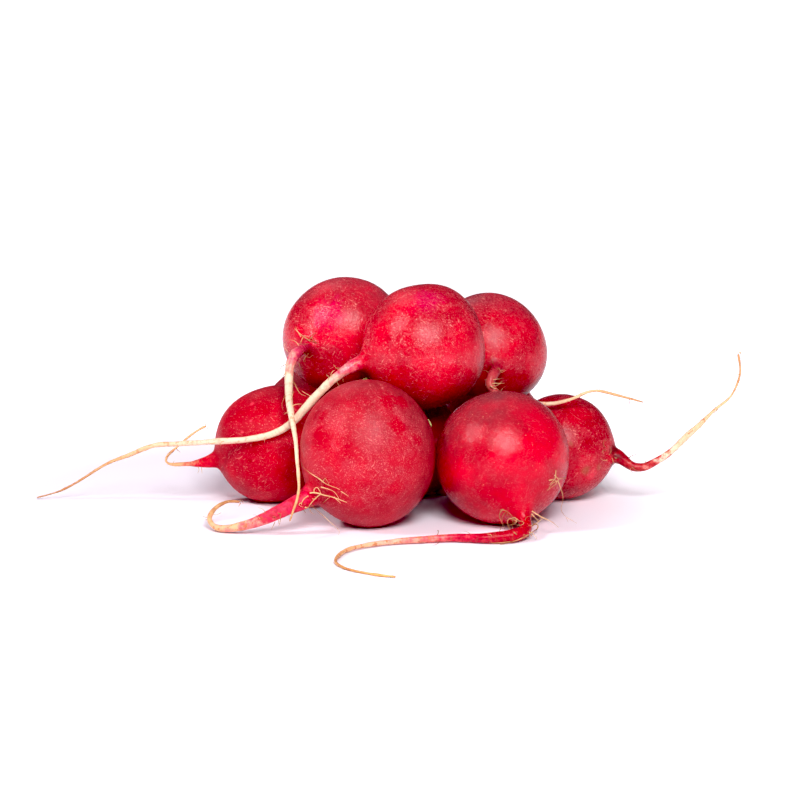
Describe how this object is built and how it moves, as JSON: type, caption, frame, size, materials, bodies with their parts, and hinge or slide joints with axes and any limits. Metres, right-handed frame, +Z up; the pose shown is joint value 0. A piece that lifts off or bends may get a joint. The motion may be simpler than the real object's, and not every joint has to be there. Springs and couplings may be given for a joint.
{
  "type": "bunch of radishes",
  "caption": "Loose heap of round red radishes, topped, with their long tap roots left on, lying on a surface.",
  "frame": {"origin": "middle of the heap's box at the height of the surface it lies on", "axes": "+Z up from the surface, +X along the heap's longest extent to its right, -Y the side that the front radishes face"},
  "size_m": [0.2186, 0.1745, 0.0697],
  "materials": {
    "radish_skin": "satin",
    "fine_roots": "matte",
    "leaf_stalks": "matte"
  },
  "bodies": {
    "root": {"radish_top_left": "radish_skin", "radish_top_middle": "radish_skin", "radish_top_right": "radish_skin", "radish_front_left": "radish_skin", "radish_front_right": "radish_skin", "radish_right": "radish_skin", "radish_left": "radish_skin", "radish_rear_left": "radish_skin", "radish_inner": "radish_skin", "radish_rear_right": "radish_skin"}
  },
  "joints": []
}
